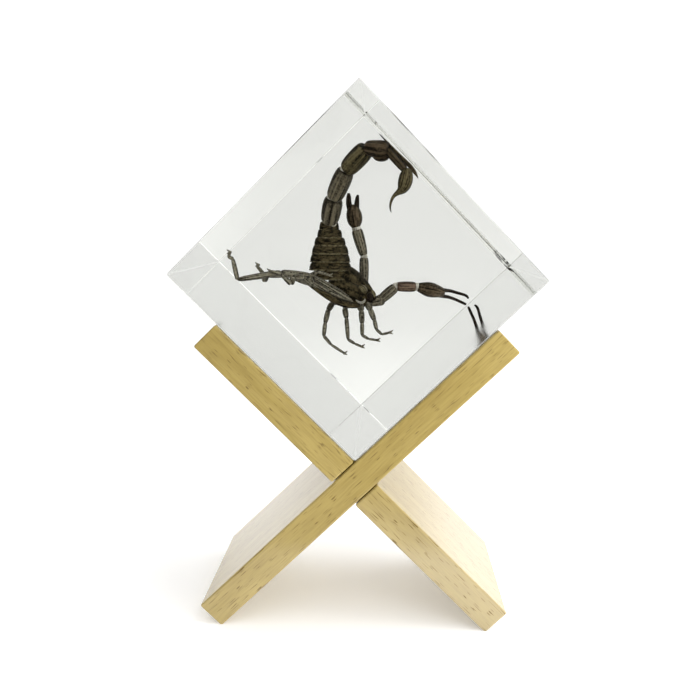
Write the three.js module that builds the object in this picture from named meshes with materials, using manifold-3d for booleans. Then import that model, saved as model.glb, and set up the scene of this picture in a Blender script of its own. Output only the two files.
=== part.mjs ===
// A scorpion cast in a clear resin block, which stands on edge in a cross-lapped beech stand.
// Millimetres, +Z up, the front faces -Y. The origin is on the ground, in the middle of the
// whole object's footprint box.
import * as THREE from 'three';
import { mergeVertices } from 'three/addons/utils/BufferGeometryUtils.js';
import Module from 'manifold-3d';

const wasm = await Module();
wasm.setup();

// ---------------------------------------------------------------- driving dimensions
const BLOCK_SIDE = 75; // side of the square front face
const BLOCK_DEPTH = 80; // front face to back face
const BLOCK_DRAFT = 1.5; // each side leans in by this towards the back, to leave the mould
const BLOCK_CHAMFER = 0.4; // polished arris on every edge
const DRESSED_CHAMFER = 1.0; // the upper right edge of the back face is ground wider

const BOARD_LENGTH = 121;
const BOARD_THICKNESS = 9;
const BOARD_DEPTH = 45; // the boards carry only the front of the block
const BOARD_EASE = 0.4; // sanded arris
const FOOT_FLAT = 1.2; // the lowest arris of each leg is planed to this flat

const FIT_GAP = 0.3; // between wood and wood, wood and resin, resin and resin
const POCKET_GAP = 0.45; // resin to specimen, all round
const PARTING_Y = 22; // behind the block's centre, through the specimen's trunk

const JOINT_PINCH = 0.8; // a limb's radius at a joint, as a share of its full radius
const WIDEST_MITRE = 1.6; // most that a sharp bend widens a limb

// ---------------------------------------------------------------- worked-out dimensions
const DIAGONAL = Math.SQRT1_2; // cosine and sine of the 45 degrees everything is set at
const FOOT_CUT = FOOT_FLAT / 2; // height lost when the arris is planed
const CROSS_HEIGHT = DIAGONAL * (BOARD_LENGTH + BOARD_THICKNESS) / 2 - FOOT_CUT;
const BLOCK_HEIGHT = CROSS_HEIGHT + DIAGONAL * (BOARD_THICKNESS + BLOCK_SIDE) + FIT_GAP / DIAGONAL;
const STAND_Y = (BOARD_DEPTH - BLOCK_DEPTH) / 2; // front faces of stand and block are flush

// ---------------------------------------------------------------- solids and meshes

/** A closed geometry as a Manifold solid; triangles that collapse at a pole are left out. */
function toSolid(geometry) {
  const bare = geometry.clone();
  bare.deleteAttribute('normal');
  bare.deleteAttribute('uv');
  const merged = mergeVertices(bare, 1e-5);
  const source = merged.index.array;
  const kept = [];
  for (let i = 0; i < source.length; i += 3) {
    const [a, b, c] = [source[i], source[i + 1], source[i + 2]];
    if (a !== b && b !== c && c !== a) {
      kept.push(a, b, c);
    }
  }
  return new wasm.Manifold(new wasm.Mesh({
    numProp: 3,
    vertProperties: new Float32Array(merged.attributes.position.array),
    triVerts: new Uint32Array(kept),
  }));
}

/** A Manifold solid as a three.js geometry. */
function toGeometry(solid) {
  const mesh = solid.getMesh();
  const geometry = new THREE.BufferGeometry();
  geometry.setAttribute('position', new THREE.BufferAttribute(mesh.vertProperties, 3));
  geometry.setIndex(new THREE.BufferAttribute(mesh.triVerts, 1));
  geometry.computeVertexNormals();
  return geometry;
}

function joinAll(solids) {
  return solids.reduce((whole, piece) => whole.add(piece));
}

/** A rectangle about the origin whose four corners are cut at 45 degrees by the given legs. */
function cutCornerOutline(width, height, [lowLeft, lowRight, topRight, topLeft]) {
  const x = width / 2;
  const y = height / 2;
  const outline = new THREE.Shape();
  outline.moveTo(-x, -y + lowLeft);
  outline.lineTo(-x + lowLeft, -y);
  outline.lineTo(x - lowRight, -y);
  outline.lineTo(x, -y + lowRight);
  outline.lineTo(x, y - topRight);
  outline.lineTo(x - topRight, y);
  outline.lineTo(-x + topLeft, y);
  outline.lineTo(-x, y - topLeft);
  outline.closePath();
  return outline;
}

/** An outline in the XZ plane run from front to back, its front and back rims chamfered. */
function chamferedBar(outline, depth, chamfer) {
  const bar = new THREE.ExtrudeGeometry(outline, {
    depth: depth - 2 * chamfer,
    bevelEnabled: true,
    bevelSegments: 1,
    bevelSize: chamfer,
    bevelThickness: chamfer,
    bevelOffset: -chamfer,
  });
  bar.rotateX(Math.PI / 2);
  bar.translate(0, depth / 2 - chamfer, 0);
  return bar;
}

// ---------------------------------------------------------------- beech stand
// Two like boards, halved into each other at mid-length. The rising board runs from the lower
// left to the upper right and is whole in front; the falling board is whole at the back.

function boardGeometry(footSide, slotSide) {
  const footLeg = FOOT_FLAT * DIAGONAL;
  const corners = footSide < 0
    ? [footLeg, BOARD_EASE, BOARD_EASE, BOARD_EASE]
    : [BOARD_EASE, footLeg, BOARD_EASE, BOARD_EASE];
  const outline = cutCornerOutline(BOARD_LENGTH, BOARD_THICKNESS, corners);
  const board = toSolid(chamferedBar(outline, BOARD_DEPTH, BOARD_EASE));

  const slot = new THREE.BoxGeometry(
    BOARD_THICKNESS + 2 * FIT_GAP,
    BOARD_DEPTH,
    2 * BOARD_THICKNESS,
  );
  slot.translate(0, slotSide * (BOARD_DEPTH - FIT_GAP) / 2, 0);
  return toGeometry(board.subtract(toSolid(slot)));
}

const beech = new THREE.MeshStandardMaterial({ color: 0xc6ac6a, roughness: 0.55 });

const risingBoard = new THREE.Mesh(boardGeometry(-1, 1), beech);
risingBoard.name = 'stand_board_rising';
risingBoard.rotation.y = -Math.PI / 4;

const fallingBoard = new THREE.Mesh(boardGeometry(1, -1), beech.clone());
fallingBoard.name = 'stand_board_falling';
fallingBoard.rotation.y = Math.PI / 4;

// ---------------------------------------------------------------- scorpion
// Places are [x, y, z] from the block's centre, along the middle line of each limb. The
// specimen lies behind the centre; the trunk hangs head down and the tail curls up and over to
// the right, while the legs and the tail's end reach forward.

/**
 * A closed tube through a chain of rings, each given as [x, y, z, radius]. At a bend the ring
 * is mitred, and `flatness` squeezes every ring front to back.
 */
function tubeGeometry(rings, sides, flatness) {
  const centres = rings.map(([x, y, z]) => new THREE.Vector3(x, y, z));
  const steps = centres.slice(1).map((centre, i) => centre.clone().sub(centres[i]).normalize());
  const side = new THREE.Vector3();
  const mitres = [];
  const frames = centres.map((centre, i) => {
    const before = steps[i - 1] ?? steps[0];
    const after = steps[i] ?? before;
    const along = new THREE.Vector3().addVectors(before, after).normalize();
    mitres.push(Math.min(1 / along.dot(after), WIDEST_MITRE));
    if (i === 0) {
      side.set(0, 1, 0).cross(along);
    }
    side.addScaledVector(along, -side.dot(along)).normalize();
    const out = side.clone().cross(along);
    return new THREE.Matrix4().makeBasis(side, along, out).setPosition(centre);
  });

  const tube = new THREE.CylinderGeometry(1, 1, 1, sides, rings.length - 1);
  const { position } = tube.attributes;
  const point = new THREE.Vector3();
  for (let i = 0; i < position.count; i += 1) {
    const ring = Math.round((position.getY(i) + 0.5) * (rings.length - 1));
    const radius = rings[ring][3] * mitres[ring];
    point.set(position.getX(i) * radius, 0, position.getZ(i) * radius * flatness);
    point.applyMatrix4(frames[ring]);
    position.setXYZ(i, point.x, point.y, point.z);
  }
  return tube;
}

/**
 * The whole specimen as one solid. With a `gap` it is the pocket instead: every part a plainer
 * tube, larger by the gap all round.
 */
function scorpionSolid(gap = 0) {
  const pieces = [];
  const isPocket = gap > 0;

  /** Adds a tube, swollen by the gap and longer by it at both ends. */
  function tube(rings, sides, flatness = 1) {
    const swollen = rings.map(([x, y, z, radius]) => [x, y, z, radius + gap / flatness]);
    for (const [end, inner] of [[0, 1], [rings.length - 1, rings.length - 2]]) {
      const [x, y, z] = rings[inner];
      const outwards = new THREE.Vector3(...rings[end]).sub(new THREE.Vector3(x, y, z));
      outwards.setLength(outwards.length() + gap);
      swollen[end].splice(0, 3, x + outwards.x, y + outwards.y, z + outwards.z);
    }
    pieces.push(toSolid(tubeGeometry(swollen, sides, flatness)));
  }

  /** A straight part from `start` to `end`, with its outline as [share of length, radius]. */
  function straight(start, end, profile, sides, flatness) {
    const from = new THREE.Vector3(...start);
    const to = new THREE.Vector3(...end);
    const half = Math.ceil(profile.length / 2);
    const widest = (points) => Math.max(...points.map(([, radius]) => radius));
    const outline = isPocket
      ? [
        [profile[0][0], widest(profile.slice(0, half))],
        [profile.at(-1)[0], widest(profile.slice(-half))],
      ]
      : profile;
    const rings = outline.map(([share, radius]) => {
      const centre = from.clone().lerp(to, share);
      return [...centre.toArray(), radius];
    });
    tube(rings, sides, flatness);
  }

  /** A limb through its joints, [x, y, z, radius]: pinched at each joint, fuller between. */
  function limb(joints, sides, swell = 1.15) {
    const rings = [];
    joints.forEach((joint, i) => {
      const next = joints[i + 1];
      rings.push([...joint.slice(0, 3), joint[3] * (isPocket ? swell : JOINT_PINCH)]);
      if (next && !isPocket) {
        for (const share of [0.3, 0.75]) {
          const ring = joint.map((value, axis) => THREE.MathUtils.lerp(value, next[axis], share));
          ring[3] *= swell;
          rings.push(ring);
        }
      }
    });
    tube(rings, sides);
  }

  // Trunk: seven overlapping back plates, widening towards the head, each given by its middle,
  // its half width and its half thickness.
  const plates = [
    [-11.3, 12.9, 3.4, 2.4],
    [-11.1, 10.4, 4.3, 2.8],
    [-11.0, 7.8, 5.4, 3.1],
    [-10.9, 5.1, 6.3, 3.4],
    [-10.9, 2.4, 6.9, 3.6],
    [-10.8, -0.4, 7.3, 3.7],
    [-10.1, -3.4, 7.3, 3.7],
  ];
  const TRUNK_Y = 24;
  const PLATE_HALF_LENGTH = 1.9;
  for (const [x, z, halfWidth, halfThickness] of plates) {
    straight([x, TRUNK_Y, z + PLATE_HALF_LENGTH], [x, TRUNK_Y, z - PLATE_HALF_LENGTH], [
      [0, 0.86 * halfWidth],
      [0.6, halfWidth],
      [0.85, 0.98 * halfWidth],
      [1, 0.8 * halfWidth],
    ], 12, halfThickness / halfWidth);
  }

  // Head shield: a broad plate that narrows to the front edge, set at a slant to the trunk.
  straight([-10.5, TRUNK_Y, -3.2], [3.6, TRUNK_Y + 0.5, -11.0], [
    [0, 5.0],
    [0.3, 6.3],
    [0.62, 5.2],
    [0.9, 3.2],
    [1, 1.6],
  ], 12, 0.55);

  // Hip plate: the eight hips meet on it, under the head shield.
  straight([-9.5, 21.6, -6.2], [2.6, 22.4, -12.4], [
    [0, 2.4],
    [0.4, 4.2],
    [0.8, 3.4],
    [1, 1.4],
  ], 10, 0.5);

  // Chelicerae: the two short jaws under the front edge.
  limb([[1.4, 22.4, -10.2, 1.2], [3.9, 22.0, -12.0, 0.7]], 5);
  limb([[2.6, 24.4, -9.6, 1.2], [5.0, 23.8, -11.4, 0.7]], 5);

  // Tail: five barrel segments, the bulb and the sting. A raised keel runs down each side of
  // the back of a segment, which the curl turns inwards.
  const tail = [
    [-11.2, 22.5, 14.4, 3.4],
    [-9.4, 15.5, 22.1, 3.3],
    [-5.2, 8.0, 30.8, 3.3],
    [1.3, 2.0, 37.2, 2.9],
    [8.3, -1.5, 36.4, 1.8],
    [13.9, -2.5, 31.0],
  ];
  const curlMiddle = new THREE.Vector3(0, 6, 24);
  for (let i = 0; i + 1 < tail.length; i += 1) {
    const halfWidth = tail[i][3];
    const start = tail[i].slice(0, 3);
    const end = tail[i + 1].slice(0, 3);
    straight(start, end, [
      [-0.02, 0.7 * halfWidth],
      [0.14, 0.92 * halfWidth],
      [0.5, halfWidth],
      [0.88, 0.97 * halfWidth],
      [1.02, 0.68 * halfWidth],
    ], 10);

    const inwards = new THREE.Vector3(...start).lerp(new THREE.Vector3(...end), 0.5);
    inwards.subVectors(curlMiddle, inwards).setY(0).setLength(0.72 * halfWidth);
    for (const side of [-0.5, 0.5]) {
      const shift = inwards.clone().setY(side * halfWidth);
      straight(
        new THREE.Vector3(...start).add(shift).toArray(),
        new THREE.Vector3(...end).add(shift).toArray(),
        [[0.18, 0.2], [0.34, 0.24 * halfWidth], [0.8, 0.3 * halfWidth], [0.9, 0.2]],
        4,
      );
    }
  }
  straight([13.8, -2.6, 31.2], [11.9, -3.8, 23.6], [
    [0, 1.1],
    [0.28, 2.3],
    [0.55, 2.5],
    [0.82, 1.9],
    [1, 0.8],
  ], 10);
  limb([
    [12.0, -3.6, 24.7, 1.15],
    [10.8, -3.9, 23.7, 0.8],
    [9.4, -4.2, 22.3, 0.6],
    [8.9, -4.4, 20.5, 0.45],
    [8.8, -4.6, 19.0, 0.3],
    [9.3, -4.8, 17.9, 0.12],
  ], 5, 1);

  // The fourth segment is deepest towards the curl, and the last one has a sharp crest on its
  // outer side, which ends in a spur beside the bulb.
  limb([[4.0, 0.8, 35.6, 1.6], [7.4, -0.8, 35.4, 1.6]], 6, 1);
  limb([[8.9, -1.6, 37.4, 0.6], [15.3, -2.4, 31.5, 0.8], [17.1, -2.6, 28.4, 0.15]], 4, 1);

  // Raised pedipalp: it folds back behind the head and stands up beside the trunk.
  limb([
    [2.6, 25.6, -10.6, 1.5],
    [0.6, 27.6, -8.0, 1.6],
    [0.4, 27.5, 3.2, 1.5],
    [-2.3, 26.8, 12.5, 1.6],
  ], 7, 1.25);
  limb([[-2.2, 26.8, 11.9, 1.4], [-2.8, 26.3, 16.0, 2.5], [-3.0, 26.0, 20.0, 1.9]], 10, 1.1);
  limb([[-3.8, 26.0, 19.0, 1.1], [-4.6, 25.5, 21.9, 0.75], [-4.7, 25.0, 23.9, 0.3]], 5);
  limb([[-2.2, 26.0, 19.0, 1.1], [-1.9, 25.5, 21.7, 0.75], [-2.2, 25.0, 23.2, 0.3]], 5);

  // Reaching pedipalp: it arches to the right, and its fingers close on the block's lower
  // right side.
  limb([
    [3.0, 25.0, -12.6, 1.5],
    [6.4, 25.6, -12.0, 1.6],
    [11.5, 26.2, -7.0, 1.6],
    [18.5, 26.8, -6.9, 1.5],
  ], 7, 1.2);
  limb([[18.1, 26.8, -6.9, 1.3], [23.2, 28.2, -7.9, 2.4], [27.9, 31.5, -9.1, 1.7]], 10, 1.1);
  limb([
    [26.2, 31.0, -8.1, 1.1],
    [30.8, 35.4, -8.8, 0.75],
    [34.0, 36.8, -9.8, 0.65],
    [36.4, 37.2, -11.2, 0.3],
  ], 5);
  limb([
    [26.2, 31.0, -9.8, 1.1],
    [29.9, 35.0, -10.9, 0.75],
    [33.0, 36.6, -12.0, 0.65],
    [35.3, 37.2, -13.0, 0.3],
  ], 5);

  // Four legs on the left, laid together over the trunk's lower edge; joints from the hip.
  const leftLegs = [
    [[-2.4, 22, -12.4, 1.5], [-16.9, 16.5, -3.5, 1.5], [-26.1, 10.5, -1.9, 1.2],
      [-37.7, -7.5, -3.2, 0.8], [-38.6, -10.5, 3.3, 0.65], [-39.6, -12.5, 4.0, 0.5],
      [-38.8, -14, 6.0, 0.2]],
    [[-5.6, 21, -12.8, 1.5], [-17.4, 16.5, -5.5, 1.3], [-24.0, 13.5, -3.4, 1.1],
      [-31.3, 10.5, -4.7, 0.85], [-31.5, 8.5, -2.3, 0.7], [-33.4, 6, 0.4, 0.5],
      [-32.6, 4, 1.4, 0.2]],
    [[-8.0, 20, -12.0, 1.4], [-14.6, 16, -7.3, 1.3], [-19.1, 12, -3.8, 1.1],
      [-22.3, 7, -5.2, 0.95], [-25.7, 6.5, -1.9, 0.7], [-29.0, 4.5, -1.1, 0.3]],
    [[-5.6, 19.5, -11.8, 1.3], [-11.1, 16, -8.6, 1.3], [-16.1, 12, -5.1, 1.1],
      [-17.0, 10, -3.0, 0.8], [-14.1, 10, -1.3, 0.65], [-10.2, 11, -2.6, 0.3]],
  ];
  // Four legs below, walking forward and down, with their feet turned to the right.
  const lowerLegs = [
    [[-5.5, 22, -10.0, 1.4], [-9.2, 21, -12.7, 1.1], [-11.1, 18.5, -14.7, 0.95],
      [-12.4, 14.5, -18.6, 0.8], [-12.1, 10.5, -22.5, 0.65], [-9.5, 7.5, -25.0, 0.5],
      [-5.0, 4, -27.3, 0.2]],
    [[-4.5, 22, -11.0, 1.4], [-5.7, 21.5, -14.4, 1.1], [-5.0, 18, -17.1, 0.85],
      [-4.1, 11, -23.6, 0.6], [-1.8, 7.5, -24.5, 0.45], [0.6, 4, -25.0, 0.2]],
    [[-0.8, 22, -11.5, 1.4], [-0.1, 21.5, -15.1, 1.1], [0.3, 17.5, -18.9, 0.8],
      [0.5, 12.5, -22.3, 0.6], [2.7, 8.5, -23.0, 0.45], [5.6, 4, -22.8, 0.2]],
    [[1.6, 23, -11.5, 1.4], [2.9, 21.5, -14.6, 1.1], [4.4, 17.5, -17.7, 0.8],
      [5.2, 12.5, -20.3, 0.6], [7.0, 8.5, -21.4, 0.45], [9.6, 4, -20.2, 0.2]],
  ];
  for (const joints of [...leftLegs, ...lowerLegs]) {
    limb(joints, 5);
  }
  return joinAll(pieces);
}

const chitin = new THREE.MeshStandardMaterial({ color: 0x3a3225, roughness: 0.4 });
const scorpion = new THREE.Mesh(toGeometry(scorpionSolid()), chitin);
scorpion.name = 'scorpion';

// ---------------------------------------------------------------- resin block
// Cast in two pours that meet in a plane through the specimen; each half holds its share of
// the pocket, which is open at that plane.

function resinHalves() {
  const chamfers = [BLOCK_CHAMFER, BLOCK_CHAMFER, BLOCK_CHAMFER, BLOCK_CHAMFER];
  const square = cutCornerOutline(BLOCK_SIDE, BLOCK_SIDE, chamfers);
  const block = chamferedBar(square, BLOCK_DEPTH, BLOCK_CHAMFER);
  const { position } = block.attributes;
  for (let i = 0; i < position.count; i += 1) {
    const share = position.getY(i) / BLOCK_DEPTH + 0.5;
    const narrowed = 1 - 2 * BLOCK_DRAFT * share / BLOCK_SIDE;
    position.setXYZ(i, position.getX(i) * narrowed, position.getY(i), position.getZ(i) * narrowed);
  }

  const reach = 2 * BLOCK_SIDE;
  const outside = (reach / 2 - DRESSED_CHAMFER * DIAGONAL) * DIAGONAL;
  const grinder = new THREE.BoxGeometry(reach, reach, reach);
  grinder.rotateX(Math.PI / 4);
  grinder.translate(0, BLOCK_DEPTH / 2 + outside, BLOCK_SIDE / 2 - BLOCK_DRAFT + outside);

  block.rotateY(Math.PI / 4);
  grinder.rotateY(Math.PI / 4);
  const cast = toSolid(block).subtract(toSolid(grinder)).subtract(scorpionSolid(POCKET_GAP));

  return [-1, 1].map((side) => {
    const keep = new THREE.BoxGeometry(reach, reach, reach);
    keep.translate(0, PARTING_Y + side * (reach + FIT_GAP) / 2, 0);
    return toGeometry(cast.intersect(toSolid(keep)));
  });
}

const resin = new THREE.MeshStandardMaterial({
  color: 0xe9efec,
  roughness: 0.05,
  transparent: true,
  opacity: 0.35,
});
const [frontGeometry, backGeometry] = resinHalves();
const resinFront = new THREE.Mesh(frontGeometry, resin);
resinFront.name = 'resin_front';
const resinBack = new THREE.Mesh(backGeometry, resin.clone());
resinBack.name = 'resin_back';

// ---------------------------------------------------------------- assembly
const stand = new THREE.Group();
stand.position.set(0, STAND_Y, CROSS_HEIGHT);
stand.add(risingBoard, fallingBoard);

const block = new THREE.Group();
block.position.set(0, 0, BLOCK_HEIGHT);
block.add(resinFront, resinBack, scorpion);

const scorpionInResin = new THREE.Group();
scorpionInResin.add(stand, block);

export default scorpionInResin;
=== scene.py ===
"""A scorpion cast in a clear resin block, standing on edge in a cross-lapped beech stand."""

import math

import bmesh
import bpy
from mathutils import Matrix, Vector


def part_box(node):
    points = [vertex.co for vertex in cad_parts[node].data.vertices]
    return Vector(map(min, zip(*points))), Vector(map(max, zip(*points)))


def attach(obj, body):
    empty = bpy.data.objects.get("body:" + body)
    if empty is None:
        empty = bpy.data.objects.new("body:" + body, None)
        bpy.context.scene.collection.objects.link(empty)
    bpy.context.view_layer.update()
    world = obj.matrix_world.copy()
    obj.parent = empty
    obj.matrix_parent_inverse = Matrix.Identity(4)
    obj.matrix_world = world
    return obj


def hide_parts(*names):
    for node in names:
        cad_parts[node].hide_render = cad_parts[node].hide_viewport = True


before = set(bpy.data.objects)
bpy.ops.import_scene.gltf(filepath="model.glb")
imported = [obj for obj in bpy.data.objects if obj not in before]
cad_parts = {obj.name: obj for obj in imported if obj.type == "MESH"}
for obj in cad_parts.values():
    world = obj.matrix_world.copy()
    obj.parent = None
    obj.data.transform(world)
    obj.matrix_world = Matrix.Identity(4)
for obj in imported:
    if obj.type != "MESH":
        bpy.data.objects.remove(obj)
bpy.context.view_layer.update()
MM = 0.001

# ---------------------------------------------------------------- camera
# A camera on a tripod at the height of the block's upper half, tipped slightly down, so that
# the square front face stands as a diamond and the upper side faces are seen edge on.
LENS_MM = 35.112
CAMERA_PLACE = Vector((0.00783, -0.2273, 0.12287))
CAMERA_YAW = math.radians(0.969)
CAMERA_TIP = math.radians(-9.272)
CAMERA_ROLL = math.radians(-0.924)

camera_data = bpy.data.cameras.new("camera")
camera_data.lens = LENS_MM
camera_data.sensor_width = 36
camera_data.shift_x = -0.0331
camera_data.shift_y = -0.0365
camera = bpy.data.objects.new("camera", camera_data)
camera.matrix_world = (
    Matrix.Translation(CAMERA_PLACE)
    @ Matrix.Rotation(CAMERA_YAW, 4, "Z")
    @ Matrix.Rotation(CAMERA_TIP, 4, "X")
    @ Matrix.Rotation(CAMERA_ROLL, 4, "Y")
    @ Matrix.Rotation(math.pi / 2, 4, "X")
)
bpy.context.scene.collection.objects.link(camera)
bpy.context.scene.camera = camera

# ---------------------------------------------------------------- studio
# A white table, faintly lit from within, that sweeps up into a white wall behind. The room, the
# soft boxes and the front of the table are flagged off from reflections, so that the block's
# front face stays clear. A soft box hangs high on the right, and a small one stands low there.
SHEET_FRONT = -3.0
SWEEP_FRONT = -0.09
SWEEP_FOOT = 0.55
SWEEP_RADIUS = 0.5
SWEEP_TOP = 3.0
SWEEP_HALF_WIDTH = 4.0


def new_material(name, color, roughness, **sockets):
    """A plain finish. Sockets are named as on the shader, with _ for each space."""
    material = bpy.data.materials.new(name)
    material.use_nodes = True
    shader = material.node_tree.nodes["Principled BSDF"]
    shader.inputs["Base Color"].default_value = (*color, 1)
    shader.inputs["Roughness"].default_value = roughness
    for socket, value in sockets.items():
        shader.inputs[socket.replace("_", " ")].default_value = value
    return material


def mesh_object(name, bm, *materials, smooth=True):
    """A finished mesh as an object in the scene."""
    mesh = bpy.data.meshes.new(name)
    bm.to_mesh(mesh)
    bm.free()
    for material in materials:
        mesh.materials.append(material)
    mesh.polygons.foreach_set("use_smooth", [smooth] * len(mesh.polygons))
    made = bpy.data.objects.new(name, mesh)
    bpy.context.scene.collection.objects.link(made)
    return made


sweep_bm = bmesh.new()
front_edge = [
    sweep_bm.verts.new((side * SWEEP_HALF_WIDTH, SWEEP_FRONT, 0)) for side in (-1, 1)
]
edge = sweep_bm.edges.new(front_edge)
pull = bmesh.ops.extrude_edge_only(sweep_bm, edges=[edge])["geom"]
foot_verts = [g for g in pull if isinstance(g, bmesh.types.BMVert)]
bmesh.ops.translate(sweep_bm, verts=foot_verts, vec=(0, SWEEP_FOOT - SWEEP_FRONT, 0))
foot_edge = [g for g in pull if isinstance(g, bmesh.types.BMEdge)]
turn = bmesh.ops.spin(
    sweep_bm,
    geom=foot_edge,
    cent=(0, SWEEP_FOOT, SWEEP_RADIUS),
    axis=(1, 0, 0),
    angle=math.pi / 2,
    steps=24,
    use_merge=False,
)["geom_last"]
wall_edge = [g for g in turn if isinstance(g, bmesh.types.BMEdge)]
pull = bmesh.ops.extrude_edge_only(sweep_bm, edges=wall_edge)["geom"]
top_verts = [g for g in pull if isinstance(g, bmesh.types.BMVert)]
bmesh.ops.translate(sweep_bm, verts=top_verts, vec=(0, 0, SWEEP_TOP))
light_table = new_material(
    "light table", (0.93, 0.93, 0.93), 0.9, Emission_Color=(1, 1, 1, 1), Emission_Strength=0.2
)
sweep = mesh_object("sweep", sweep_bm, light_table)

sheet_bm = bmesh.new()
bmesh.ops.create_grid(sheet_bm, x_segments=1, y_segments=1, size=1)
sheet_length = SWEEP_FRONT - SHEET_FRONT
bmesh.ops.scale(sheet_bm, verts=sheet_bm.verts, vec=(SWEEP_HALF_WIDTH, sheet_length / 2, 1))
bmesh.ops.translate(sheet_bm, verts=sheet_bm.verts, vec=(0, (SWEEP_FRONT + SHEET_FRONT) / 2, 0))
front_sheet = mesh_object("front sheet", sheet_bm, light_table)
front_sheet.visible_glossy = False


def soft_box(name, place, aim, size, power):
    """A square soft box that looks from its place at the aim, flagged off from reflections."""
    light = bpy.data.lights.new(name, "AREA")
    light.size = size
    light.energy = power
    lamp = bpy.data.objects.new(name, light)
    lamp.location = place
    lamp.rotation_euler = (Vector(aim) - Vector(place)).to_track_quat("-Z", "Y").to_euler()
    lamp.visible_glossy = False
    bpy.context.scene.collection.objects.link(lamp)


soft_box("overhead box", (0.28, 0.04, 0.42), (0.02, 0, 0.02), 0.45, 1.9)
soft_box("low box", (0.27, -0.2, 0.09), (0.05, 0, 0.02), 0.2, 0.6)

room = bpy.data.worlds.new("pale room")
room.use_nodes = True
room.node_tree.nodes["Background"].inputs["Color"].default_value = (1, 1, 1, 1)
room.node_tree.nodes["Background"].inputs["Strength"].default_value = 0.9
room.cycles_visibility.glossy = False
bpy.context.scene.world = room
bpy.context.scene.view_settings.view_transform = "Standard"

# ---------------------------------------------------------------- stand
# Two beech boards, halved into each other at mid-length so that they cross at a right angle.
# The rising board is whole in front and the falling board whole at the back. Every arris is
# sanded, and the lowest arris of each is planed to a narrow flat, on which the stand rests.
BOARD_LENGTH = 121 * MM
BOARD_THICKNESS = 9 * MM
BOARD_EASE = 0.6 * MM
FOOT_CUT = 0.6 * MM
LAP_GAP = 0.3 * MM
# Heights between which painted light pales the boards towards their foot.
PAINTED_LIGHT_START = 48 * MM
PAINTED_LIGHT_END = 22 * MM
DIAGONAL = math.sqrt(0.5)
CROSS = Vector((0, 0, DIAGONAL * (BOARD_LENGTH + BOARD_THICKNESS) / 2 - FOOT_CUT))


def link(material, *pairs):
    """Joins node sockets, each pair as output to input."""
    for start, end in pairs:
        material.node_tree.links.new(start, end)


def color_ramp(material, *stops):
    """A colour ramp with the given (position, colour) stops."""
    ramp = material.node_tree.nodes.new("ShaderNodeValToRGB")
    ramp.color_ramp.elements[0].position, ramp.color_ramp.elements[0].color = (
        stops[0][0],
        (*stops[0][1], 1),
    )
    ramp.color_ramp.elements[1].position, ramp.color_ramp.elements[1].color = (
        stops[-1][0],
        (*stops[-1][1], 1),
    )
    for position, color in stops[1:-1]:
        stop = ramp.color_ramp.elements.new(position)
        stop.color = (*color, 1)
    return ramp


def noise_on(material, turn, scale, size, detail, distortion=0.0):
    """Noise on the piece's own coordinates, turned by `turn` about Y, then stretched."""
    nodes = material.node_tree.nodes
    coordinates = nodes.new("ShaderNodeTexCoord")
    turned = nodes.new("ShaderNodeMapping")
    turned.vector_type = "POINT"
    turned.inputs["Rotation"].default_value = (0, turn, 0)
    stretched = nodes.new("ShaderNodeMapping")
    stretched.inputs["Scale"].default_value = scale
    noise = nodes.new("ShaderNodeTexNoise")
    noise.inputs["Scale"].default_value = size
    noise.inputs["Detail"].default_value = detail
    noise.inputs["Distortion"].default_value = distortion
    link(
        material,
        (coordinates.outputs["Object"], turned.inputs["Vector"]),
        (turned.outputs["Vector"], stretched.inputs["Vector"]),
        (stretched.outputs["Vector"], noise.inputs["Vector"]),
    )
    return noise


def mix_colors(material, factor, first, second):
    """A mix of two colour sockets or constants by a factor socket or number."""
    mix = material.node_tree.nodes.new("ShaderNodeMix")
    mix.data_type = "RGBA"
    for socket, value in (("Factor", factor), ("A", first), ("B", second)):
        target = next(i for i in mix.inputs if i.name == socket and i.enabled)
        if isinstance(value, bpy.types.NodeSocket):
            link(material, (value, target))
        elif isinstance(value, tuple):
            target.default_value = (*value, 1)
        else:
            target.default_value = value
    return next(o for o in mix.outputs if o.enabled)


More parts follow.
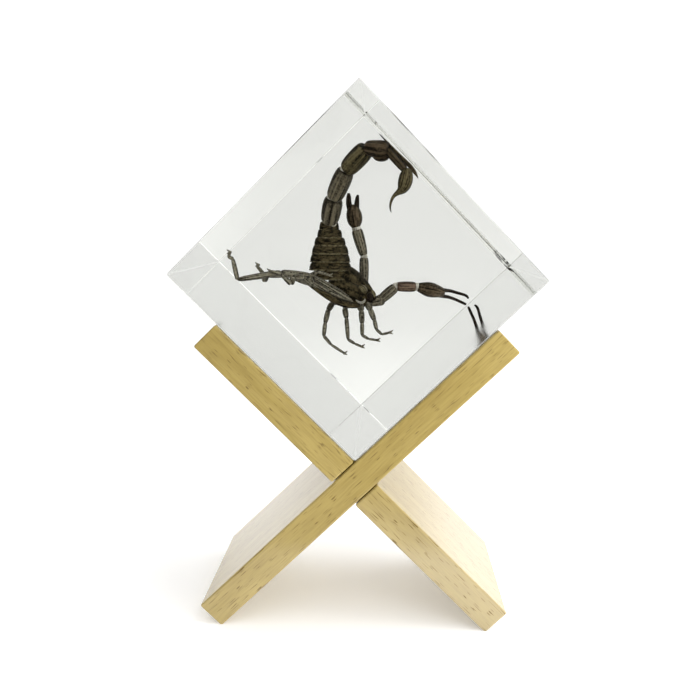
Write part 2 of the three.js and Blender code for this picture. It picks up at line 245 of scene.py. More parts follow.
def beech(name, turn, foot_painted_light):
    """Lacquered beech, its grain along the board, with the short dark flecks of its rays.

    The last argument is how far painted light pales the wood towards the board's foot.
    """
    wood = new_material(name, (0.38, 0.29, 0.07), 0.5, Coat_Weight=1, Coat_Roughness=0.15)
    shader = wood.node_tree.nodes["Principled BSDF"]
    figure = noise_on(wood, turn, (0.12, 1, 1), 160, 4, 0.3)
    tone = color_ramp(
        wood,
        (0.3, (0.345, 0.245, 0.055)),
        (0.52, (0.4, 0.295, 0.075)),
        (0.75, (0.465, 0.35, 0.105)),
    )
    pores = noise_on(wood, turn, (0.05, 1, 1), 2200, 2)
    pore_tone = color_ramp(wood, (0.35, (0.84, 0.82, 0.78)), (0.6, (1, 1, 1)))
    flecks = noise_on(wood, turn, (0.07, 1, 1), 3200, 0)
    fleck_mask = color_ramp(wood, (0.7, (0, 0, 0)), (0.74, (1, 1, 1)))
    places = wood.node_tree.nodes.new("ShaderNodeTexCoord")
    heights = wood.node_tree.nodes.new("ShaderNodeSeparateXYZ")
    painted_light_towards_foot = wood.node_tree.nodes.new("ShaderNodeMapRange")
    painted_light_towards_foot.inputs["From Min"].default_value = PAINTED_LIGHT_START
    painted_light_towards_foot.inputs["From Max"].default_value = PAINTED_LIGHT_END
    painted_light_towards_foot.inputs["To Max"].default_value = foot_painted_light
    shade = wood.node_tree.nodes.new("ShaderNodeMix")
    shade.data_type = "RGBA"
    shade.blend_type = "MULTIPLY"
    shade.inputs["Factor"].default_value = 1
    link(
        wood,
        (figure.outputs["Fac"], tone.inputs["Fac"]),
        (pores.outputs["Fac"], pore_tone.inputs["Fac"]),
        (tone.outputs["Color"], shade.inputs["A"]),
        (pore_tone.outputs["Color"], shade.inputs["B"]),
        (flecks.outputs["Fac"], fleck_mask.inputs["Fac"]),
        (places.outputs["Object"], heights.inputs["Vector"]),
        (heights.outputs["Z"], painted_light_towards_foot.inputs["Value"]),
    )
    body = next(o for o in shade.outputs if o.enabled)
    # Painted light: the wood pales towards the board's foot, a painted wash of light on the lower
    # board.
    body = mix_colors(wood, painted_light_towards_foot.outputs["Result"], body, (0.52, 0.46, 0.36))
    flecked = mix_colors(wood, fleck_mask.outputs["Color"], body, (0.2, 0.13, 0.03))
    bump = wood.node_tree.nodes.new("ShaderNodeBump")
    bump.inputs["Strength"].default_value = 0.12
    bump.inputs["Distance"].default_value = 0.1 * MM
    link(
        wood,
        (flecked, shader.inputs["Base Color"]),
        (pores.outputs["Fac"], bump.inputs["Height"]),
        (bump.outputs["Normal"], shader.inputs["Normal"]),
    )
    return wood


def board(node, turn, slot_side, foot_painted_light):
    """One board, notched at mid-length from the front (-1) or from the back (1)."""
    low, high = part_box(node)
    depth = high.y - low.y
    half_slot = BOARD_THICKNESS / 2 + LAP_GAP
    notch = LAP_GAP / 2
    bm = bmesh.new()
    outline = [
        (-BOARD_LENGTH / 2, -depth / 2),
        (BOARD_LENGTH / 2, -depth / 2),
        (BOARD_LENGTH / 2, depth / 2),
        (half_slot, depth / 2),
        (half_slot, -notch),
        (-half_slot, -notch),
        (-half_slot, depth / 2),
        (-BOARD_LENGTH / 2, depth / 2),
    ]
    plan = bm.faces.new([bm.verts.new((x, y, -BOARD_THICKNESS / 2)) for x, y in outline])
    raised = bmesh.ops.extrude_face_region(bm, geom=[plan])["geom"]
    top = [g for g in raised if isinstance(g, bmesh.types.BMVert)]
    bmesh.ops.translate(bm, verts=top, vec=(0, 0, BOARD_THICKNESS))
    bmesh.ops.recalc_face_normals(bm, faces=bm.faces)
    outer = [
        e
        for e in bm.edges
        if not all(abs(v.co.x) < half_slot * 1.01 and v.co.y < depth * 0.4 for v in e.verts)
        or all(abs(v.co.y + depth / 2) < 1e-6 for v in e.verts)
    ]
    bmesh.ops.bevel(
        bm, geom=outer, offset=BOARD_EASE, segments=3, profile=0.5, affect="EDGES", material=-1
    )
    if slot_side < 0:
        bmesh.ops.rotate(bm, verts=bm.verts, matrix=Matrix.Rotation(math.pi, 3, "X"))
    bmesh.ops.rotate(bm, verts=bm.verts, matrix=Matrix.Rotation(turn, 3, "Y"))
    bmesh.ops.translate(bm, verts=bm.verts, vec=(0, (low.y + high.y) / 2, CROSS.z))
    cut = bmesh.ops.bisect_plane(
        bm,
        geom=list(bm.verts) + list(bm.edges) + list(bm.faces),
        plane_co=(0, 0, 0),
        plane_no=(0, 0, -1),
        clear_outer=True,
    )["geom_cut"]
    bmesh.ops.holes_fill(bm, edges=[g for g in cut if isinstance(g, bmesh.types.BMEdge)])
    made = mesh_object(node + "_beech", bm, beech(node + " beech", -turn, foot_painted_light), smooth=False)
    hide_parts(node)
    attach(made, "root")


# The last number is how far painted light pales each board towards its foot.
board("stand_board_rising", -math.pi / 4, 1, 0.06)
board("stand_board_falling", math.pi / 4, -1, 0.33)

# ---------------------------------------------------------------- resin block
# One casting of clear resin with the specimen inside, sawn square and polished, its lower side
# faces left finely sanded towards the front, and its upper right back edge dressed wider than
# the narrow chamfers of the others. It rests loose in the V of the stand.
front_low, front_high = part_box("resin_front")
back_low, back_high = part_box("resin_back")
BLOCK_SIDE = 75 * MM
BLOCK_DRAFT = 1.5 * MM
BLOCK_CHAMFER = 0.4 * MM
BACK_CHAMFER = 0.15 * MM
DRESSED_CHAMFER = 1.0 * MM
SHARP_ANGLE = 1.2
SANDED_START = -2 * MM
SANDED_END = -22 * MM
SANDED_ROUGHNESS = 0.11
GROUND_ROUGHNESS = 0.05
FRONT_GROUND_ROUGHNESS = 0.35
BLOCK_CENTRE = Vector((0, (front_low.y + back_high.y) / 2, (front_low.z + front_high.z) / 2))

resin = new_material("clear resin", (1, 1, 1), 0.0, Transmission_Weight=1.0, IOR=1.49)
ground = resin.node_tree.nodes.new("ShaderNodeAttribute")
ground.attribute_name = "ground"
sanded = resin.node_tree.nodes.new("ShaderNodeAttribute")
sanded.attribute_name = "sanded"
resin_places = resin.node_tree.nodes.new("ShaderNodeTexCoord")
place_axes = resin.node_tree.nodes.new("ShaderNodeSeparateXYZ")
towards_front = resin.node_tree.nodes.new("ShaderNodeMapRange")
towards_front.inputs["From Min"].default_value = SANDED_START
towards_front.inputs["From Max"].default_value = SANDED_END
towards_front.inputs["To Max"].default_value = SANDED_ROUGHNESS
sanded_roughness = resin.node_tree.nodes.new("ShaderNodeMath")
sanded_roughness.operation = "MULTIPLY_ADD"
link(
    resin,
    (resin_places.outputs["Object"], place_axes.inputs["Vector"]),
    (place_axes.outputs["Y"], towards_front.inputs["Value"]),
    (towards_front.outputs["Result"], sanded_roughness.inputs[0]),
    (sanded.outputs["Fac"], sanded_roughness.inputs[1]),
    (ground.outputs["Fac"], sanded_roughness.inputs[2]),
    (sanded_roughness.outputs[0], resin.node_tree.nodes["Principled BSDF"].inputs["Roughness"]),
)
depth_of_color = resin.node_tree.nodes.new("ShaderNodeVolumeAbsorption")
depth_of_color.inputs["Color"].default_value = (0.83, 0.835, 0.815, 1)
depth_of_color.inputs["Density"].default_value = 26.0
link(
    resin,
    (
        depth_of_color.outputs["Volume"],
        resin.node_tree.nodes["Material Output"].inputs["Volume"],
    ),
)

block_bm = bmesh.new()
bmesh.ops.create_cube(block_bm, size=1)
bmesh.ops.scale(
    block_bm, verts=block_bm.verts, vec=(BLOCK_SIDE, back_high.y - front_low.y, BLOCK_SIDE)
)
narrowed = 1 - 2 * BLOCK_DRAFT / BLOCK_SIDE
back_verts = [v for v in block_bm.verts if v.co.y > 0]
bmesh.ops.scale(block_bm, verts=back_verts, vec=(narrowed, 1, narrowed))
for offset, is_next in (
    (DRESSED_CHAMFER, lambda edge: all(v.co.y > 0 and v.co.z > 0 for v in edge.verts)),
    (BACK_CHAMFER, lambda edge: all(v.co.y > 0 for v in edge.verts)),
    (BLOCK_CHAMFER, lambda edge: edge.calc_face_angle() > SHARP_ANGLE),
):
    bmesh.ops.bevel(
        block_bm,
        geom=[edge for edge in block_bm.edges if is_next(edge)],
        offset=offset,
        segments=1,
        profile=0.5,
        affect="EDGES",
        material=-1,
    )
bmesh.ops.rotate(block_bm, verts=block_bm.verts, matrix=Matrix.Rotation(math.pi / 4, 3, "Y"))
bmesh.ops.translate(block_bm, verts=block_bm.verts, vec=BLOCK_CENTRE)
block = mesh_object("resin_block", block_bm, resin, smooth=False)
ground_faces = block.data.attributes.new("ground", "FLOAT", "FACE")
sanded_faces = block.data.attributes.new("sanded", "FLOAT", "FACE")
for face in block.data.polygons:
    is_flat_side = face.area > (BLOCK_SIDE / 2) ** 2
    is_in_front = face.center.y < front_low.y + BLOCK_CHAMFER
    chamfer_roughness = FRONT_GROUND_ROUGHNESS if is_in_front else GROUND_ROUGHNESS
    ground_faces.data[face.index].value = 0 if is_flat_side else chamfer_roughness
    sanded_faces.data[face.index].value = 1 if is_flat_side and face.normal.z < -0.3 else 0
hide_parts("resin_front", "resin_back")
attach(block, "root")

# ---------------------------------------------------------------- trunk of the scorpion
# The dried specimen is one piece. Its trunk hangs head down: seven back plates overlap like
# tiles, each with a paler hind rim, and the head shield ends them. Places on the specimen are
# millimetres from the middle of the block.


def grow(bm, rings, sides, flat=1.0, keels=0.0, skin=0):
    """A closed skin over rings of (x, y, z, radius), extruded from ring to ring.

    `flat` squeezes it front to back, and `keels` sinks every other corner of a ring.
    """
    centres = [BLOCK_CENTRE + Vector(ring[:3]) * MM for ring in rings]
    steps = [(b - a).normalized() for a, b in zip(centres, centres[1:])]
    ridge = bm.verts.layers.float.get("ridge") or bm.verts.layers.float.new("ridge")
    along_piece = bm.verts.layers.float.get("along") or bm.verts.layers.float.new("along")
    flank = bm.verts.layers.float.get("flank") or bm.verts.layers.float.new("flank")
    hide = bm.verts.layers.float_vector.get("hide") or bm.verts.layers.float_vector.new("hide")
    piece_shift = 3.7 * len(bm.faces)
    disc = bmesh.ops.create_circle(bm, cap_ends=True, segments=sides, radius=1)["verts"]
    for i, vert in enumerate(disc):
        # The ridge mark steers a painted highlight on the raised corners, and the flank mark
        # painted shade on the sides of the outline.
        vert[ridge] = i % 2
        vert[flank] = abs(vert.co.x)
        if i % 2 == 0:
            vert.co *= 1 - keels
    face = disc[0].link_faces[0]
    last = Matrix.Identity(4)
    side = Vector((0, 1, 0)).cross(steps[0]).normalized()
    grown = [face]
    for i, centre in enumerate(centres):
        along = (steps[max(i - 1, 0)] + steps[min(i, len(steps) - 1)]).normalized()
        side = (side - along * side.dot(along)).normalized()
        out = along.cross(side)
        radius = rings[i][3] * MM
        place = Matrix.Translation(centre) @ Matrix(
            (
                (side.x * radius, out.x * radius * flat, along.x * radius, 0),
                (side.y * radius, out.y * radius * flat, along.y * radius, 0),
                (side.z * radius, out.z * radius * flat, along.z * radius, 0),
                (0, 0, 0, 1),
            )
        )
        if i:
            pull = bmesh.ops.extrude_face_region(bm, geom=[face])["geom"]
            new_face = next(g for g in pull if isinstance(g, bmesh.types.BMFace))
            grown += list({f for e in new_face.edges for f in e.link_faces})
            if i > 1:
                bmesh.ops.delete(bm, geom=[face], context="FACES_ONLY")
            face = new_face
        bmesh.ops.transform(bm, matrix=place @ last.inverted(), verts=face.verts)
        for k, vert in enumerate(face.verts):
            turn = 2 * math.pi * k / sides
            share = i / (len(rings) - 1)
            vert[along_piece] = share
            vert[hide] = (math.cos(turn), math.sin(turn), share + piece_shift)
        last = place
    grown = [f for f in set(grown) if f.is_valid]
    for part in grown:
        part.material_index = skin
    bmesh.ops.recalc_face_normals(bm, faces=grown)
    return grown


def shell_piece(name, bm, *materials, levels=2):
    """A finished part of the specimen, its skin rounded."""
    made = mesh_object(name, bm, *materials)
    rounding = made.modifiers.new("rounding", "SUBSURF")
    rounding.levels = levels
    rounding.render_levels = levels
    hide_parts("scorpion")
    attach(made, "root")
    return made


SHELL_GRAIN = 1500
SHELL_SHEEN = 0.06


def chitin(name, dark, light, roughness=0.36, ridge=0.1, rim=0.3, streaks=(1, 1, 0.3)):
    """Dried shell: dark, with light streaks and flecks, painted shade at its ends and flanks, and
    granular.

    `ridge` is how much lighter the raised keel corners are, a painted highlight, and `rim` the
    tone that painted shade leaves at the ends and flanks.
    `streaks` squeezes the streaks, round the piece and along it.
    """
    shell = new_material(name, light, roughness, Specular_IOR_Level=SHELL_SHEEN)
    nodes = shell.node_tree.nodes
    shader = nodes["Principled BSDF"]
    hide = nodes.new("ShaderNodeAttribute")
    hide.attribute_name = "hide"
    squeezed = nodes.new("ShaderNodeMapping")
    squeezed.inputs["Scale"].default_value = streaks
    patches = nodes.new("ShaderNodeTexNoise")
    patches.inputs["Scale"].default_value = 4.5
    patches.inputs["Detail"].default_value = 1.5
    flecks = noise_on(shell, 0, (1, 1, 1), SHELL_GRAIN, 1)
    both = nodes.new("ShaderNodeMath")
    both.operation = "MULTIPLY_ADD"
    both.inputs[1].default_value = 0.4
    half_patches = nodes.new("ShaderNodeMath")
    half_patches.operation = "MULTIPLY"
    half_patches.inputs[1].default_value = 0.85
    ridges = nodes.new("ShaderNodeAttribute")
    ridges.attribute_name = "ridge"
    # Painted highlight: the raised keel corners are lightened.
    raised = nodes.new("ShaderNodeMath")
    raised.operation = "MULTIPLY_ADD"
    raised.inputs[1].default_value = ridge
    along = nodes.new("ShaderNodeAttribute")
    along.attribute_name = "along"
    flanks = nodes.new("ShaderNodeAttribute")
    flanks.attribute_name = "flank"
    tone = color_ramp(
        shell,
        (0.52, dark),
        (0.64, tuple(0.55 * d + 0.45 * p for d, p in zip(dark, light))),
        (0.8, light),
    )
    # Painted shade: each piece darkens towards both ends, where it meets the next part, and
    # towards its flanks, the sides of its outline.
    ends = color_ramp(
        shell, (0.0, (rim, rim, rim)), (0.16, (1, 1, 1)), (0.84, (1, 1, 1)), (1.0, (rim, rim, rim))
    )
    sides = color_ramp(shell, (0.5, (1, 1, 1)), (0.9, (rim, rim, rim)))
    ends_shade = nodes.new("ShaderNodeVectorMath")
    ends_shade.operation = "MULTIPLY"
    shade = nodes.new("ShaderNodeVectorMath")
    shade.operation = "MULTIPLY"
    bump = nodes.new("ShaderNodeBump")
    bump.inputs["Strength"].default_value = 0.8
    bump.inputs["Distance"].default_value = 0.3 * MM
    link(
        shell,
        (hide.outputs["Vector"], squeezed.inputs["Vector"]),
        (squeezed.outputs["Vector"], patches.inputs["Vector"]),
        (patches.outputs["Fac"], half_patches.inputs[0]),
        (flecks.outputs["Fac"], both.inputs[0]),
        (half_patches.outputs[0], both.inputs[2]),
        (ridges.outputs["Fac"], raised.inputs[0]),
        (both.outputs[0], raised.inputs[2]),
        (raised.outputs[0], tone.inputs["Fac"]),
        (along.outputs["Fac"], ends.inputs["Fac"]),
        (flanks.outputs["Fac"], sides.inputs["Fac"]),
        (ends.outputs["Color"], ends_shade.inputs[0]),
        (sides.outputs["Color"], ends_shade.inputs[1]),
        (tone.outputs["Color"], shade.inputs[0]),
        (ends_shade.outputs[0], shade.inputs[1]),
        (shade.outputs[0], shader.inputs["Base Color"]),
        (both.outputs[0], bump.inputs["Height"]),
        (bump.outputs["Normal"], shader.inputs["Normal"]),
    )
    return shell


olive_shell = chitin(
    "olive shell", (0.01, 0.007, 0.003), (0.17, 0.135, 0.07), ridge=0.02, streaks=(0.5, 0.5, 1.6)
)
pale_rim = chitin("pale rim", (0.04, 0.03, 0.015), (0.32, 0.28, 0.17), rim=0.6)
black_shell = chitin("black shell", (0.006, 0.004, 0.003), (0.05, 0.035, 0.025), rim=0.6)
membrane = chitin("joint skin", (0.42, 0.38, 0.3), (0.9, 0.87, 0.8), 0.55, rim=1)

PLATES = [
    # middle x, middle z, half width, half thickness
    (-11.3, 12.9, 3.4, 2.4),
    (-11.1, 10.4, 4.3, 2.8),
    (-11.0, 7.8, 5.4, 3.1),
    (-10.9, 5.1, 6.3, 3.4),
    (-10.9, 2.4, 6.9, 3.6),
    (-10.8, -0.4, 7.3, 3.7),
    (-10.1, -3.4, 7.3, 3.7),
]
TRUNK_Y = 24
trunk_bm = bmesh.new()
for x, z, half_width, half_thickness in PLATES:
    flat = half_thickness / half_width
    grow(
        trunk_bm,
        [
            (x, TRUNK_Y, z + 1.9, 0.82 * half_width),
            (x, TRUNK_Y, z + 1.2, 0.93 * half_width),
            (x, TRUNK_Y, z - 0.6, 1.0 * half_width),
            (x, TRUNK_Y, z - 1.3, 0.99 * half_width),
        ],
        20,
        flat,
        skin=0,
    )
    grow(
        trunk_bm,
        [
            (x, TRUNK_Y, z - 0.75, 0.93 * half_width),
            (x, TRUNK_Y, z - 0.95, 1.02 * half_width),
            (x, TRUNK_Y, z - 1.25, 1.02 * half_width),
            (x, TRUNK_Y, z - 1.45, 0.93 * half_width),
        ],
        20,
        flat,
        skin=1,
    )
grow(
    trunk_bm,
    [
        (-10.5, 24, -3.2, 5.0),
        (-8.6, 24.1, -4.3, 5.8),
        (-5.6, 24.2, -6.0, 6.2),
        (-1.8, 24.3, -8.1, 5.1),
        (1.4, 24.4, -9.9, 3.6),
        (3.2, 24.5, -10.8, 2.2),
        (3.8, 24.5, -11.1, 0.8),
    ],
    20,
    0.55,
)
grow(
    trunk_bm,
    [
        (-11.0, 22.0, -5.2, 2.4),
        (-8.6, 21.8, -6.6, 3.0),
        (-4.7, 21.9, -8.7, 4.2),
        (0.2, 22.2, -11.2, 3.4),
        (2.6, 22.4, -12.4, 1.4),
    ],
    14,
    0.5,
)
shell_piece("scorpion_trunk", trunk_bm, olive_shell, pale_rim)

# ---------------------------------------------------------------- jaws
# Two short stout jaws with black tips stand out under the front edge of the head shield.
jaw_bm = bmesh.new()
for lift, reach in ((22.4, 0.0), (24.4, 1.2)):
    grow(
        jaw_bm,
        [
            (1.4 + reach, lift, -10.6 + reach * 0.5, 1.0),
            (2.0 + reach, lift, -11.0 + reach * 0.5, 1.3),
            (3.0 + reach, lift - 0.2, -11.6 + reach * 0.5, 1.15),
            (3.6 + reach, lift - 0.4, -12.0 + reach * 0.5, 0.6),
        ],
        10,
    )
# The mouth is a pit between a pale cheek and the jaw's root, its shade painted as a black-shelled
# lump, with soft skin below it.
grow(
    jaw_bm,
    [
        (-0.9, 20.9, -6.5, 0.8),
        (-0.1, 20.5, -7.2, 1.5),
        (0.8, 20.4, -8.0, 1.5),
        (1.6, 20.5, -8.8, 0.7),
    ],
    10,
    skin=1,
)
# Painted shade: this black-shelled lump stands for the shade in the mouth's pit.
grow(
    jaw_bm,
    [
        (2.2, 20.2, -8.9, 0.7),
        (2.7, 19.9, -9.5, 1.2),
        (3.0, 19.9, -10.2, 1.2),
        (3.2, 20.2, -10.9, 0.6),
    ],
    10,
)
grow(
    jaw_bm,
    [
        (3.2, 20.4, -7.9, 0.5),
        (3.7, 20.2, -8.6, 0.85),
        (4.2, 20.4, -9.5, 0.7),
        (4.4, 20.6, -10.3, 0.3),
    ],
    10,
    skin=1,
)
grow(
    jaw_bm,
    [
        (-2.0, 19.6, -11.1, 0.2),
        (-1.4, 19.4, -11.7, 0.4),
        (-0.5, 19.3, -12.1, 0.45),
        (0.5, 19.3, -12.0, 0.45),
        (1.1, 19.4, -11.3, 0.4),
        (1.1, 19.6, -10.6, 0.2),
    ],
    8,
    skin=2,
)
shell_piece("scorpion_jaws", jaw_bm, black_shell, pale_rim, membrane)

# ---------------------------------------------------------------- tail
# Five barrel segments of thick ridged shell, hinged by narrow necks, then the bulb that ends
# in the curved sting.
tail_shell = chitin("tail shell", (0.018, 0.014, 0.008), (0.27, 0.235, 0.165))
tail_olive = chitin("olive tail shell", (0.014, 0.01, 0.004), (0.21, 0.175, 0.09))
tail_brown = chitin("brown tail shell", (0.014, 0.009, 0.005), (0.15, 0.11, 0.065))
tail_dark = chitin("dark tail shell", (0.01, 0.007, 0.004), (0.12, 0.09, 0.05))
TAIL = [
    # the joints' x, y, z, and the half width of the segment that starts there
    (-11.2, 22.5, 14.4, 3.4),
    (-9.4, 15.5, 22.1, 3.25),
    (-5.2, 8.0, 30.8, 3.3),
    (1.3, 2.0, 37.2),
]
SEGMENT_PROFILE = (
    # share of the segment's length, share of its half width
    (0.02, 0.55),
    (0.05, 0.78),
    (0.15, 0.94),
    (0.4, 1.02),
    (0.75, 1.03),
    (0.9, 0.95),
    (0.97, 0.78),
    (0.99, 0.5),
)


def between(start, end, share):
    """The place that lies the given share of the way from start to end."""
    return tuple(Vector(start[:3]).lerp(Vector(end[:3]), share))


tail_bm = bmesh.new()
for start, end in zip(TAIL, TAIL[1:]):
    grow(
        tail_bm,
        [(*between(start, end, share), start[3] * width) for share, width in SEGMENT_PROFILE],
        16,
        keels=0.07,
        skin=0 if end[2] < 35 else 1,
    )
# The fourth segment hangs deepest towards the curl.
grow(
    tail_bm,
    [
        (1.2, 2.0, 37.3, 1.8),
        (1.7, 1.7, 37.3, 2.4),
        (2.8, 1.1, 37.2, 2.65),
        (4.6, 0.3, 36.9, 2.95),
        (6.3, -0.6, 36.7, 3.1),
        (7.6, -1.2, 36.6, 2.7),
        (8.4, -1.5, 36.4, 1.8),
    ],
    16,
    keels=0.07,
    skin=4,
)
grow(
    tail_bm,
    [
        (3.5, 0.9, 35.6, 0.9),
        (4.3, 0.5, 35.1, 1.7),
        (5.8, -0.2, 34.9, 1.95),
        (7.3, -0.8, 35.0, 1.7),
        (8.1, -1.2, 35.4, 0.9),
    ],
    12,
    skin=4,
)
# The fifth is slender, with a sharp crest along its outer side that ends in a spur.
grow(
    tail_bm,
    [
        (7.6, -1.3, 36.7, 1.15),
        (8.1, -1.5, 36.2, 1.4),
        (9.3, -1.8, 34.9, 1.45),
        (11.4, -2.2, 32.7, 1.4),
        (12.7, -2.5, 31.3, 1.35),
        (13.3, -2.6, 30.7, 0.95),
    ],
    12,
    keels=0.07,
    skin=2,
)
grow(
    tail_bm,
    [
        (4.9, -1.5, 41.6, 0.1),
        (7.0, -1.5, 39.5, 0.3),
        (8.9, -1.5, 37.6, 0.4),
        (12.4, -2.0, 34.1, 0.57),
        (14.7, -2.3, 31.9, 0.8),
        (15.9, -2.5, 30.4, 0.7),
        (16.8, -2.6, 29.1, 0.35),
        (17.2, -2.6, 28.2, 0.08),
    ],
    8,
    skin=2,
)
grow(
    tail_bm,
    [
        (13.8, -2.6, 31.3, 0.95),
        (13.8, -2.8, 30.5, 1.65),
        (13.6, -3.0, 29.3, 2.2),
        (13.4, -3.2, 27.6, 2.4),
        (12.9, -3.4, 25.8, 2.2),
        (12.2, -3.6, 24.6, 1.5),
        (11.3, -3.8, 24.0, 0.9),
        (10.2, -4.0, 23.3, 0.63),
        (9.3, -4.2, 22.0, 0.48),
        (8.9, -4.4, 20.5, 0.38),
        (8.8, -4.6, 19.0, 0.27),
        (9.3, -4.8, 17.8, 0.08),
    ],
    14,
    keels=0.04,
    skin=1,
)
for x, y, z, radius in ((-11.2, 22.3, 14.3, 2.6), (-9.5, 15.3, 22.2, 2.3), (-5.1, 8.1, 30.9, 2.3)):
    grow(
        tail_bm,
        [
            (x - 0.3, y, z - 0.9, 0.8 * radius),
            (x - 0.1, y, z - 0.3, radius),
            (x + 0.1, y, z + 0.3, radius),
            (x + 0.3, y, z + 0.9, 0.8 * radius),
        ],
        12,
        skin=3,
    )
shell_piece("scorpion_tail", tail_bm, tail_shell, tail_olive, tail_dark, membrane, tail_brown)

# ---------------------------------------------------------------- pincers
# Each pincer arm has a thigh, a knee piece and a swollen hand, joined by pale skin, and ends
# in two slender near-black fingers.
arm_shell = chitin("arm shell", (0.022, 0.018, 0.012), (0.4, 0.36, 0.27))
knee_shell = chitin("knee shell", (0.03, 0.018, 0.012), (0.34, 0.24, 0.18))
hand_shell = chitin("hand shell", (0.02, 0.014, 0.008), (0.2, 0.15, 0.095), ridge=0.04)

ARM_PROFILE = (
    (0.02, 0.7),
    (0.06, 0.92),
    (0.3, 1.06),
    (0.7, 1.1),
    (0.92, 1.0),
    (0.97, 0.75),
)


def grow_joint(bm, start, end, profile, sides, skin=0):
    """One limb segment between two joints (x, y, z, radius), shaped by its profile."""
    rings = []
    for share, width in profile:
        radius = start[3] + (end[3] - start[3]) * share
        rings.append((*between(start, end, share), radius * width))
    grow(bm, rings, sides, skin=skin)


def grow_knuckle(bm, joint, size, skin):
    """A ball of soft skin in a joint."""
    x, y, z, radius = joint
    radius *= size
    grow(
        bm,
        [
            (x, y, z - radius, 0.35 * radius),
            (x, y, z - 0.6 * radius, 0.85 * radius),
            (x, y, z, 1.05 * radius),
            (x, y, z + 0.6 * radius, 0.85 * radius),
            (x, y, z + radius, 0.35 * radius),
        ],
        10,
        skin=skin,
    )


RAISED_ARM = [
    (2.6, 25.6, -10.6, 1.4),
    (0.6, 27.6, -8.0, 1.5),
    (0.4, 27.5, 3.2, 1.6),
    (-2.3, 26.8, 12.5, 2.0),
]
RAISED_HAND = [
    (-2.5, 26.8, 12.6, 1.2),
    (-2.7, 26.6, 14.2, 2.35),
    (-3.0, 26.3, 16.4, 2.75),
    (-3.3, 26.1, 18.6, 2.3),
    (-3.2, 26.0, 20.4, 1.4),
]
RAISED_FINGERS = [
    [
        (-4.3, 26.0, 18.6, 1.2),
        (-4.9, 25.7, 20.8, 1.0),
        (-4.9, 25.3, 22.8, 0.85),
        (-5.0, 25.0, 24.1, 0.45),
    ],
    [
        (-2.5, 26.0, 18.6, 1.2),
        (-2.2, 25.7, 20.6, 0.9),
        (-2.1, 25.3, 22.2, 0.75),
        (-1.8, 25.0, 23.6, 0.4),
    ],
]
REACHING_ARM = [
    (3.0, 25.0, -12.4, 1.6),
    (6.2, 25.6, -11.6, 1.8),
    (11.5, 26.2, -6.9, 1.75),
    (18.5, 26.8, -6.9, 1.7),
]
REACHING_HAND = [(18.5, 26.8, -6.9, 1.3), (23.0, 28.2, -7.9, 2.7), (27.9, 31.5, -9.1, 1.6)]
REACHING_FINGERS = [
    [
        (26.2, 31.0, -8.1, 1.0),
        (28.6, 34.2, -8.5, 0.75),
        (30.8, 36.0, -8.8, 0.62),
        (33.4, 37.4, -9.6, 0.56),
        (35.6, 38.2, -10.2, 0.52),
        (36.7, 38.4, -10.8, 0.48),
        (37.2, 38.4, -11.6, 0.3),
    ],
    [
        (26.2, 31.0, -9.8, 1.0),
        (28.2, 33.6, -10.5, 0.75),
        (29.9, 35.5, -10.9, 0.62),
        (32.2, 37.2, -11.7, 0.56),
        (34.6, 38.3, -12.8, 0.54),
        (36.6, 38.9, -13.7, 0.46),
    ],
]


def smooth_rings(points, steps):
    """More rings along a bend, eased through the given (x, y, z, radius) points."""
    rings = []
    last = len(points) - 1
    for i in range(last):
        p0, p1, p2, p3 = (Vector(points[min(max(k, 0), last)]) for k in range(i - 1, i + 3))
        for k in range(steps):
            t = k / steps
            rings.append(
                tuple(
                    0.5
                    * (
                        2 * p1
                        + (p2 - p0) * t
                        + (2 * p0 - 5 * p1 + 4 * p2 - p3) * t * t
                        + (3 * p1 - p0 - 3 * p2 + p3) * t**3
                    )
                )
            )
    rings.append(tuple(points[-1]))
    return rings


def pincer(name, arm, skins, hand, fingers):
    """A pincer arm with its hand; `skins` picks the shell of each of its three segments."""
    bm = bmesh.new()
    for start, end, skin in zip(arm, arm[1:], skins):
        grow_joint(bm, start, end, ARM_PROFILE, 12, skin=skin)
    grow_knuckle(bm, arm[1], 1.1, 0)
    grow_knuckle(bm, arm[2], 0.85, 3)
    grow_knuckle(bm, arm[3], 0.85, 3)
    grow(bm, smooth_rings(hand, 4), 14, skin=1)
    for finger in fingers:
        grow(bm, smooth_rings(finger, 3), 10, skin=2)
    shell_piece(name, bm, arm_shell, hand_shell, black_shell, membrane, knee_shell)


pincer("scorpion_raised_pincer", RAISED_ARM, (0, 0, 0), RAISED_HAND, RAISED_FINGERS)
pincer("scorpion_reaching_pincer", REACHING_ARM, (0, 0, 4), REACHING_HAND, REACHING_FINGERS)

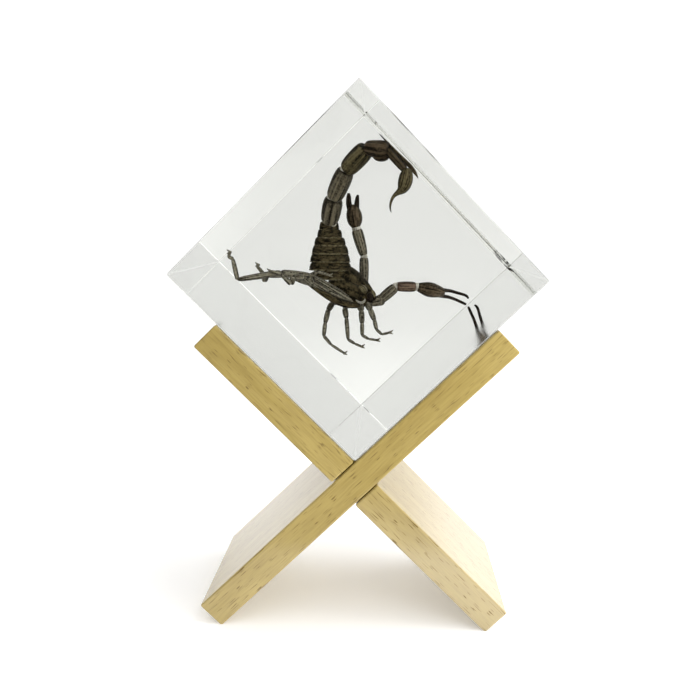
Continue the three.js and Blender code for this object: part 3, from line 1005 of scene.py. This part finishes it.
# ---------------------------------------------------------------- legs
# Eight thin legs of pale, half-clear shell: four folded to the left across the lower edge of
# the trunk, and four reaching down and forward.
leg_shell = chitin("leg shell", (0.02, 0.016, 0.01), (0.52, 0.48, 0.37), ridge=0.05, rim=0.35)
LEG_PROFILE = ((0.0, 0.7), (0.08, 0.95), (0.35, 1.08), (0.75, 1.1), (0.93, 0.95), (1.0, 0.65))
LEGS = [
    [
        (-2.4, 22, -12.4, 1.5),
        (-16.9, 16.5, -3.5, 1.5),
        (-26.1, 10.5, -1.9, 1.2),
        (-37.7, -7.5, -3.2, 0.8),
        (-38.6, -10.5, 3.3, 0.65),
        (-39.6, -12.5, 4.0, 0.5),
        (-38.8, -14, 5.4, 0.38),
    ],
    [
        (-5.6, 21, -12.8, 1.5),
        (-17.4, 16.5, -5.5, 1.3),
        (-24.0, 13.5, -2.6, 1.1),
        (-30.7, 11.0, -2.9, 0.9),
        (-31.5, 10.2, -4.8, 0.85),
        (-31.5, 8.5, -2.3, 0.7),
        (-33.4, 6, 0.4, 0.5),
        (-32.6, 4, 0.8, 0.38),
    ],
    [
        (-8.0, 20, -12.0, 1.4),
        (-14.6, 16, -7.3, 1.3),
        (-19.1, 12, -3.3, 1.1),
        (-21.9, 8, -3.2, 0.95),
        (-22.5, 7, -5.4, 0.95),
        (-25.7, 6.5, -1.9, 0.7),
        (-29.0, 4.5, -1.1, 0.38),
    ],
    [
        (-5.6, 19.5, -11.8, 1.3),
        (-11.1, 16, -8.6, 1.3),
        (-16.1, 12, -5.1, 1.1),
        (-17.0, 10, -3.0, 0.8),
        (-14.1, 10, -1.3, 0.65),
        (-10.2, 11, -2.6, 0.38),
    ],
    [
        (-5.5, 22, -10.0, 1.4),
        (-9.9, 21, -12.6, 1.1),
        (-11.1, 18.5, -14.6, 0.95),
        (-11.9, 14.5, -18.6, 0.8),
        (-12.1, 10.5, -22.5, 0.65),
        (-9.5, 7.5, -25.0, 0.5),
        (-5.0, 4, -27.3, 0.38),
    ],
    [
        (-4.5, 22, -11.0, 1.4),
        (-5.7, 21.5, -14.4, 1.1),
        (-5.0, 18, -17.1, 0.85),
        (-4.1, 11, -23.6, 0.6),
        (-1.8, 7.5, -24.5, 0.45),
        (0.6, 4, -25.0, 0.38),
    ],
    [
        (-0.8, 22, -11.5, 1.4),
        (-0.1, 21.5, -15.1, 1.1),
        (0.3, 17.5, -18.9, 0.8),
        (0.5, 12.5, -22.3, 0.6),
        (2.7, 8.5, -23.0, 0.45),
        (5.6, 4, -22.8, 0.38),
    ],
    [
        (1.6, 23, -11.5, 1.4),
        (2.9, 21.5, -14.6, 1.1),
        (4.4, 17.5, -17.7, 0.8),
        (5.2, 12.5, -20.3, 0.6),
        (7.0, 8.5, -21.4, 0.45),
        (9.6, 4, -20.2, 0.38),
    ],
]
leg_bm = bmesh.new()
for leg in LEGS:
    for start, end in zip(leg, leg[1:]):
        grow_joint(leg_bm, start, end, LEG_PROFILE, 10)
    # Each foot is forked into two short claws that point away from the middle.
    x, y, z, foot = leg[-1]
    out = 1 if x > -15 else -1
    for lift in (0.9, -0.5):
        grow(
            leg_bm,
            [
                (x - 0.5 * out, y, z, 1.3 * foot),
                (x + 0.2 * out, y - 0.1, z + 0.2 * lift, foot),
                (x + 0.8 * out, y - 0.2, z + 0.7 * lift, 0.6 * foot),
                (x + 1.0 * out, y - 0.3, z + lift, 0.3 * foot),
            ],
            6,
        )
# The thick root of a folded leg lies dark along the lower side, its spur to the left.
grow(
    leg_bm,
    [
        (-16.4, 10.0, -6.3, 0.2),
        (-14.6, 11.0, -7.3, 0.7),
        (-12.2, 12.5, -8.8, 1.1),
        (-9.0, 14.5, -10.8, 1.4),
        (-6.0, 16.5, -12.2, 1.4),
        (-3.0, 18.0, -12.9, 1.2),
        (0.0, 19.0, -13.0, 0.8),
    ],
    12,
    skin=1,
)
shell_piece("scorpion_legs", leg_bm, leg_shell, olive_shell, levels=1)
